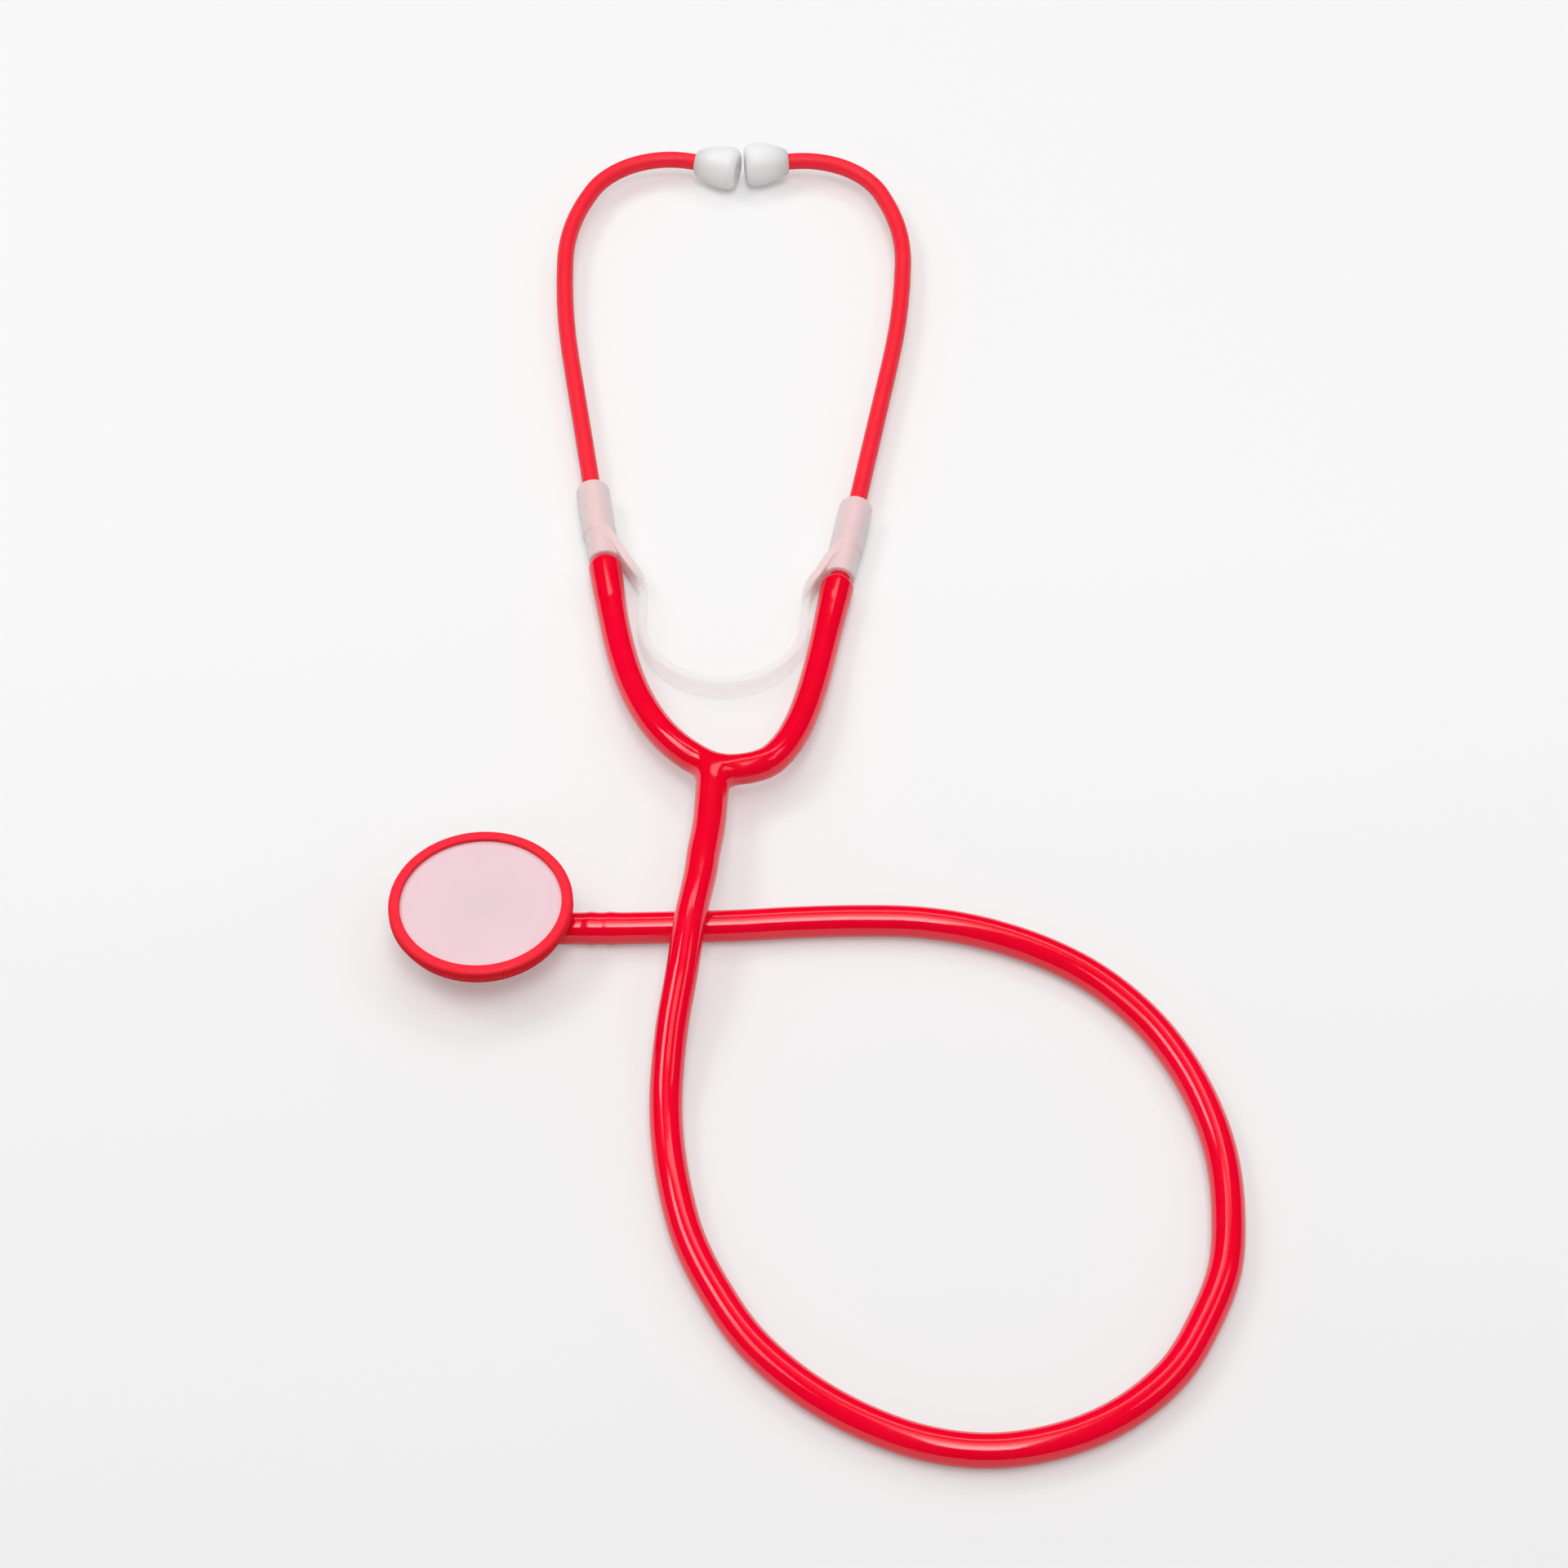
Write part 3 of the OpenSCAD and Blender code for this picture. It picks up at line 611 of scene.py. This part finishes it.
def join_smoothly(points, line_a, line_b, k):
    """Height of each point over the smooth union of two round bars, and its gradient. The
    second bar, the stem, is the thicker one."""
    to_a, from_a = near_line(points, line_a)
    to_b, from_b = near_line(points, line_b)
    to_b = to_b - STEM_SWELL
    share = np.clip(0.5 + 0.5 * (to_b - to_a) / k, 0, 1)
    return (to_b * (1 - share) + to_a * share - k * share * (1 - share) - TUBE_R,
            from_a * share[:, None] + from_b * (1 - share)[:, None])


def thick_bar(line):
    return skin(tube_rings(line, [TUBE_R + BAR_MORE] * len(line), 32), True, True)


left_end, left_dir = stub_end(-1)
right_end, right_dir = stub_end(1)
crotch = ([left_end + left_dir * OVERLAP] + crotch_line(-1)[::-1] + crotch_line(1)[1:]
          + [right_end + right_dir * OVERLAP])
crotch = np.array([placed(p) for p in crotch])
from_ends = np.minimum(np.arange(len(crotch)), np.arange(len(crotch))[::-1])
ease = 0.25 * smooth01((from_ends - 1) / 8)[1:-1, None]
for _ in range(EASE_PASSES):     # the soft moulding eases its own bends, away from the arms
    crotch[1:-1] += ease * (crotch[:-2] - 2 * crotch[1:-1] + crotch[2:])

stem_foot = AXIS[0]
stem_root = placed(on_yoke(-STEM_LEFT, 0))
down = unit(stem_foot - stem_root)
first = stem_root + down * STEM_STRAIGHT
onward = unit(AXIS[1] - AXIS[0])
reach = np.linalg.norm(stem_foot - first)
stem_line = []
for i in range(13):
    t = i / 12
    stem_line.append((2 * t ** 3 - 3 * t * t + 1) * first
                     + (t ** 3 - 2 * t * t + t) * reach * down
                     + (3 * t * t - 2 * t ** 3) * stem_foot
                     + (t ** 3 - t * t) * reach * onward)
stem_line = np.array(stem_line + [stem_foot + onward * OVERLAP])

yoke = new_piece("y_crotch", *joined([thick_bar(crotch),
                                      thick_bar(np.vstack([[stem_root], stem_line]))]))
remesh(yoke, CROTCH_VOXEL * MM)
points = points_of(yoke.data)
ends = [(placed(left_end), placed(left_end + left_dir)),
        (placed(right_end), placed(right_end + right_dir)), (stem_foot, AXIS[1])]
for _ in range(DRAW_PASSES):     # each point is drawn onto the smooth union's surface
    height, outward = join_smoothly(points, crotch, stem_line, BLEND)
    shrink = np.zeros(len(points))
    for a, b in ends:
        past_end = (points - a) @ unit(b - a)
        shrink = np.maximum(shrink, UNDER * smooth01((past_end + FADE) / FADE))
    steep = np.maximum((outward * outward).sum(1), 0.3)
    points = points - ((height + shrink) / steep)[:, None] * outward
_, outward = join_smoothly(points, crotch, stem_line, BLEND)
exact = outward / np.linalg.norm(outward, axis=1)[:, None]
normals = exact
pairs = np.array([tuple(e.vertices) for e in yoke.data.edges])
for _ in range(EVEN_PASSES):     # even highlights over the blend, and exact ones at the ends
    total = 2.0 * normals
    np.add.at(total, pairs[:, 0], normals[pairs[:, 1]])
    np.add.at(total, pairs[:, 1], normals[pairs[:, 0]])
    normals = total / np.linalg.norm(total, axis=1)[:, None]
inside = np.min([(a - points) @ unit(b - a) for a, b in ends], axis=0)
normals = exact + (normals - exact) * smooth01((inside - 0.5) / 3.0)[:, None]
normals /= np.linalg.norm(normals, axis=1)[:, None]
move_points(yoke.data, points)
yoke.data.shade_smooth()
yoke.data.normals_split_custom_set_from_vertices([tuple(n) for n in normals])
dress(yoke, SOFT_RED)
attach(yoke, "frame")
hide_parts("y_yoke")


# Arms, over the ear tubes
def arm_line(side):
    """Axis of an arm from the crotch to its mouth, how far each point lies past the ear tube's
    lower end, that end, and the way up from it."""
    p, d = stub_end(side)
    lead_low, lead_top = ARM_LEADS[side]
    w = ear_start(side)[0]
    low = on_headset(side * w, LOW_REACH)
    top_dir = unit(on_headset(side * (w + math.sin(SPLAY)), LOW_REACH + math.cos(SPLAY)) - low)
    b, c = low - lead_top * top_dir, p + lead_low * d
    n, n_straight = 56, 14
    curve = []
    for i in range(n + 1):
        t = 1 - i / n
        m = 1 - t
        curve.append(m ** 3 * low + 3 * m * m * t * b + 3 * m * t * t * c + t ** 3 * p)
    straight = [low + top_dir * (GRIP[side] - LIP) * i / n_straight
                for i in range(1, n_straight + 1)]
    line = np.array(curve + straight)
    s = lengths(line)
    return (np.array([placed(q) for q in line]), s - s[n], placed(low),
            placed(low + top_dir) - placed(low))


ARMS = {}
for side, name in SIDES:
    line, past, low, up = arm_line(side)
    from_mouth = np.clip((GRIP[side] - past) / SWELL_LONG, 0, 1)
    nip = NIP * np.exp(-((past + NIP_BELOW) / NIP_LONG) ** 2)
    radii = TUBE_R + ARM_SWELL / 2 * (1 + np.cos(np.pi * from_mouth)) - nip
    rings = tube_rings(line, radii, ROUND)
    centre, r_top = line[-1], radii[-1]
    spokes = (rings[-1] - centre) / r_top
    for i in range(1, 10):       # the rounded mouth
        t = math.radians(10 * i)
        rings.append(centre + up * LIP * math.sin(t)
                     + spokes * (r_top - LIP * (1 - math.cos(t))))
    edge = centre + up * LIP
    for more, back in ((0.15, 0.0), (0.05, 0.12), (SLIP, 0.4), (SLIP, 5.0)):    # its bore
        rings.append(edge - up * back + spokes * (EAR_R + more))
    arm = new_piece(name + "_soft_arm", *skin(rings))
    dress(arm, SOFT_RED)
    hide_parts(name + "_arm")
    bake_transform(arm)
    ARMS[side] = (low, up)

# Ear tubes
for side, name in SIDES:
    legs = leg_points(ear_start(side), ear_legs(side, TIP_GRIP - END_PLAY), 2.0, 1.5)
    apart = [legs[0]]            # without points that all but coincide
    for p in legs[1:]:
        if math.dist(p[:2], apart[-1][:2]) > 0.2:
            apart.append(p)
    line = np.array([placed(on_headset(side * p[0], p[1])) for p in apart])
    rings = tube_rings(line, [EAR_R] * len(line), 40)
    ear = new_piece(name + "_ear_pipe", *skin(rings, True, True))
    dress(ear, HARD_RED)
    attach(ear, name + "_ear")
    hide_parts(name + "_ear_tube")

# Ear tips
tip_profile = [(EAR_R + SLIP, 4.0), (EAR_R + SLIP, 0.3), (EAR_R + 0.2, 0.0),
               (TIP_BASE_R - 0.25, 0.0), (TIP_BASE_R - 0.07, 0.05), (TIP_BASE_R + 0.08, 0.22)]
for i in range(1, 25):           # up to the widest place
    t = i / 24
    bulge = math.sin(math.pi / 2 * t) ** 0.85
    tip_profile.append((TIP_BASE_R + (TIP_R - TIP_BASE_R) * bulge, TIP_WIDEST * t))
for i in range(1, 17):           # and round to the face
    t = math.pi / 2 * i / 16
    tip_profile.append((TIP_FACE_R + (TIP_R - TIP_FACE_R) * math.cos(t),
                        TIP_WIDEST + (TIP_LEN - TIP_WIDEST) * math.sin(t)))
tip_profile += [(3.2, TIP_LEN), (2.2, TIP_LEN), (TIP_HOLE_R + 0.35, TIP_LEN),
                (TIP_HOLE_R + 0.1, TIP_LEN - 0.1), (TIP_HOLE_R, TIP_LEN - 0.35),
                (TIP_HOLE_R, TIP_GRIP)]
for side, name in SIDES:
    e = ear_end(side)
    at = placed(on_headset(side * e[0], e[1]))
    toward = placed(on_headset(side * (e[0] - math.sin(e[2])), e[1] + math.cos(e[2]))) - at
    tip = new_piece(name + "_soft_tip", *skin(revolve(tip_profile, at, toward, 72)))
    dress(tip, TIP_WHITE)
    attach(tip, name + "_tip")
    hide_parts(name + "_ear_tip")

# Sprung bridge: one moulding, cut in two halves at the bottom of the strap's U
BORE_R, BORE_SKIN, BORE_LONG = 2.55, 2.95, 60    # the bore, and which points belong to it


def soften(bm):
    for _ in range(3):
        bmesh.ops.smooth_vert(bm, verts=bm.verts, factor=0.5,
                              use_axis_x=True, use_axis_y=True, use_axis_z=True)


def keep_side(bm, at, outward):
    """Cuts away what lies behind a plane."""
    bmesh.ops.bisect_plane(bm, geom=list(bm.verts) + list(bm.edges) + list(bm.faces),
                           dist=1e-8, plane_co=tuple(at * MM), plane_no=tuple(outward),
                           clear_inner=True)


nodes = [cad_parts[n].data for n in ("left_sleeve", "bridge_strap", "right_sleeve")]
raw = bpy.data.meshes.new("bridge_raw")
verts, faces = joined([([tuple(v.co) for v in node.vertices],
                        [tuple(p.vertices) for p in node.polygons]) for node in nodes])
raw.from_pydata(verts, [], faces)
edit(raw, lambda bm: bmesh.ops.remove_doubles(bm, verts=bm.verts, dist=1e-7))
bridge = linked("bridge_raw", raw)
remesh(bridge, BRIDGE_VOXEL * MM)
edit(bridge.data, soften)
points = points_of(bridge.data)
for low, up in ARMS.values():    # the bore stands clear of the ear tube
    along = (points - low) @ up
    foot = low + along[:, None] * up
    out = points - foot
    dist = np.linalg.norm(out, axis=1)
    inside = (dist < BORE_SKIN) & (along > 0) & (along < BORE_LONG)
    away = out[inside] / dist[inside][:, None]
    points[inside] = foot[inside] + away * np.maximum(dist[inside], BORE_R)[:, None]
move_points(bridge.data, points)
u_bottom = placed(on_headset(-STRAP_U_LEFT, STRAP_BOTTOM))
across = placed(np.array([1.0, 0, 0])) - placed(np.array([0.0, 0, 0]))
for side, name in SIDES:
    half = bpy.data.meshes.new(name + "_bridge_half")
    edit(bridge.data, lambda bm: keep_side(bm, u_bottom, across * side), half)
    half.shade_smooth()
    obj = linked(name + "_bridge_half", half)
    dress(obj, FROSTED)
    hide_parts(name + "_sleeve", "bridge_strap")
    low, up = ARMS[side]
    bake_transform(obj)
bpy.data.objects.remove(bridge)

# Chest piece

# cup: flat back, hub, curve out to the rim, spigot and dish, with its edges eased
seat = CHEST_H - RING_H - RING_PLAY
hub_high = seat - RIM_H
spigot_top = CHEST_H - LIP_T - FILM_T - 2 * REST_GAP
cup = [(BACK_R - BACK_EDGE, 0.0)]
for i in range(1, 7):
    t = math.radians(15 * i)
    cup.append((BACK_R - BACK_EDGE + BACK_EDGE * math.sin(t), BACK_EDGE * (1 - math.cos(t))))
for i in range(1, 25):
    t = math.radians(90 * i / 24)
    cup.append((BACK_R + (CUP_R - BACK_R) * (1 - math.cos(t)),
                BACK_EDGE + (hub_high - BACK_EDGE) * math.sin(t)))
cup += [(CUP_R, seat - 0.3), (CUP_R - 0.05, seat - 0.1), (CUP_R - 0.3, seat),
        (SPIGOT_R, seat), (SPIGOT_R, spigot_top - 0.15), (SPIGOT_R - 0.15, spigot_top),
        (DISH_R, spigot_top), (HOLE_R, spigot_top - DISH_DEEP)]
chest = new_piece("chest_cup_body", *skin(revolve(cup, CHEST_AT, UPWARD, 180), True, True))
boss_line = np.array([CHEST_AT + [x, 0, TUBE_R]
                      for x in np.linspace(BOSS_FROM, BOSS_REACH + 0.05, 12)])
boss_rings = tube_rings(boss_line, [TUBE_R - 0.02] * len(boss_line), ROUND)
boss = new_piece("chest_boss", *skin(boss_rings, True, True))
for obj, red in ((chest, CHEST_RED), (boss, BOSS_RED)):
    dress(obj, red)
    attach(obj, "frame")
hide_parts("chest_cup")

# retaining ring: milled band, eased shoulder, flat face and inner lip, each point with its
# share of the grooves' depth
PER_GROOVE = 6
low_z, band_z, lip_z, top_z = CHEST_H - RING_H, CHEST_H - 0.45, CHEST_H - LIP_T, CHEST_H
ring_bore = SPIGOT_R + 0.06
ring_profile = [
    (ring_bore, low_z, 0), (RING_R - 0.55, low_z, 0), (RING_R - 0.38, low_z + 0.03, 0),
    (RING_R - 0.22, low_z + 0.12, 0.3), (RING_R - 0.07, low_z + 0.30, 0.9),
    (RING_R, low_z + 0.5, 1.0), (RING_R, band_z - 1.4, 1.0), (RING_R, band_z - 0.75, 1.0),
    (RING_R, band_z - 0.5, 0.95), (RING_R - 0.02, band_z - 0.3, 0.7),
    (RING_R - 0.07, band_z - 0.12, 0.35), (RING_R - 0.16, band_z + 0.02, 0.1),
    (RING_R - 0.30, band_z + 0.14, 0), (RING_R - 0.48, band_z + 0.26, 0),
    (RING_R - 0.60, band_z + 0.34, 0), (RING_R - 0.70, band_z + 0.40, 0),
    (RING_R - 0.80, band_z + 0.435, 0), (RING_R - 0.92, band_z + 0.45, 0),
    (RING_R - 1.4, top_z, 0), (RING_R - 2.0, top_z, 0), (WINDOW_R + 0.32, top_z, 0),
    (WINDOW_R + 0.22, top_z - 0.03, 0), (WINDOW_R + 0.12, top_z - 0.12, 0),
    (WINDOW_R + 0.04, top_z - 0.25, 0), (WINDOW_R, top_z - 0.4, 0), (WINDOW_R, top_z - 1.0, 0),
    (WINDOW_R + 0.04, lip_z, 0), (ring_bore, lip_z, 0), (ring_bore, low_z, 0)]


def milled(angle, row):
    """Grooves of a round-bottomed mill, fading out at the ends of the band."""
    phase = angle * TEETH / (2 * math.pi)
    f = np.abs((phase % 1.0) * 2 - 1)
    return -MILL_DEPTH * ring_profile[row][2] * (1 - f ** 1.6)


rings = revolve([(r, z) for r, z, _ in ring_profile], CHEST_AT, UPWARD, TEETH * PER_GROOVE,
                wave=milled)
ring = new_piece("milled_ring", *skin(rings))
dress(ring, CHEST_RED)
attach(ring, "ring")
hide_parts("retaining_ring")

# diaphragm: a thin film, its face a little below its rim
film_top = spigot_top + REST_GAP + FILM_T
film_face = film_top - 0.02
film_hub = 0.01                  # the first ring of points round the middle
film_profile = [(max(film_hub, FILM_R * i / 12), film_face) for i in range(12)]
film_profile += [(FILM_R - 0.15, film_top), (FILM_R - 0.02, film_top - 0.1),
                 (FILM_R, film_top - FILM_T), (film_hub, film_top - FILM_T)]
film = new_piece("film", *skin(revolve(film_profile, CHEST_AT, UPWARD, 128), True, True))
dress(film, MEMBRANE)
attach(film, "membrane")
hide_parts("diaphragm")

# Floor and light
FLOOR_HALF = 6.0                 # in metres, like all lengths from here on
NEAR_GREY, FAR_GREY = (0.565, 0.565, 0.565), (0.655, 0.655, 0.655)
mesh = bpy.data.meshes.new("floor")
mesh.from_pydata([(x * FLOOR_HALF, y * FLOOR_HALF, 0)
                  for x, y in ((-1, -1), (1, -1), (1, 1), (-1, 1))], [], [(0, 1, 2, 3)])
floor = linked("floor", mesh)
pale = Nodes("floor_pale")
rays = pale.add("ShaderNodeLightPath")
seen = rays.outputs["Is Camera Ray"]
for kind in ("Is Glossy Ray", "Is Transmission Ray"):
    seen = pale.calc("MAXIMUM", seen, rays.outputs[kind])
# painted shade: the floor is a darker grey towards the front, where the lamps' light falls off
away = pale.span(pale.xyz(pale.place)[1], -0.32, 0.0)
pale.set(Base_Color=pale.mix(away, NEAR_GREY, FAR_GREY),
         Roughness=0.9, Specular_IOR_Level=0.1, Emission_Color=(1.0, 1.0, 1.0),
         Emission_Strength=pale.span(seen, 0.0, 1.0, 0.0, 0.26))
mesh.materials.append(pale.mat)

world = bpy.data.worlds.new("studio")
bpy.context.scene.world = world
world.use_nodes = True
world.node_tree.nodes["Background"].inputs["Color"].default_value = (1.0, 0.995, 0.99, 1.0)
world.node_tree.nodes["Background"].inputs["Strength"].default_value = 0.34
world.cycles_visibility.glossy = False


def soft_light(name, at, target, size_x, size_y, radiance):
    data = bpy.data.lights.new(name, "AREA")
    data.shape = "RECTANGLE"
    data.size = size_x
    data.size_y = size_y
    data.energy = radiance * math.pi * size_x * size_y
    obj = linked(name, data)
    obj.location = at
    obj.rotation_euler = (Vector(target) - Vector(at)).to_track_quat("-Z", "Y").to_euler()
    return obj


# boxes of light in a level plane over the floor: x from and to, y from and to, radiance
LIGHTS_UP = 2.4
SOFTBOXES = [
    ("softbox_front", -0.35, 0.60, -1.50, -0.65, 7.6),
    ("softbox_middle", -0.35, 0.60, -0.65, -0.15, 4.0),
    ("softbox_fading", -0.35, 0.60, -0.15, 0.50, 1.4),
    ("softbox_faint", -0.35, 0.60, 0.50, 1.45, 0.25),
    ("softbox_back", -0.80, 0.95, 1.45, 2.05, 2.2),
    ("softbox_left", -2.30, -1.20, -0.60, 0.30, 2.2),
    ("softbox_far_left", -2.30, -1.20, 0.30, 1.40, 5.0),
    ("softbox_right", 1.50, 2.40, -0.60, 1.10, 1.4)]
for name, x0, x1, y0, y1, radiance in SOFTBOXES:
    x, y = (x0 + x1) / 2, (y0 + y1) / 2
    soft_light(name, (x, y, LIGHTS_UP), (x, y, 0.0), x1 - x0, y1 - y0, radiance)
key = soft_light("key_back", (0.15, 1.75, 2.1), (0.03, -0.05, 0.0), 1.8, 1.2, 1.0)
key.visible_glossy = False       # a broad light from behind, not seen in the tubes

bpy.context.scene.view_settings.view_transform = "Standard"
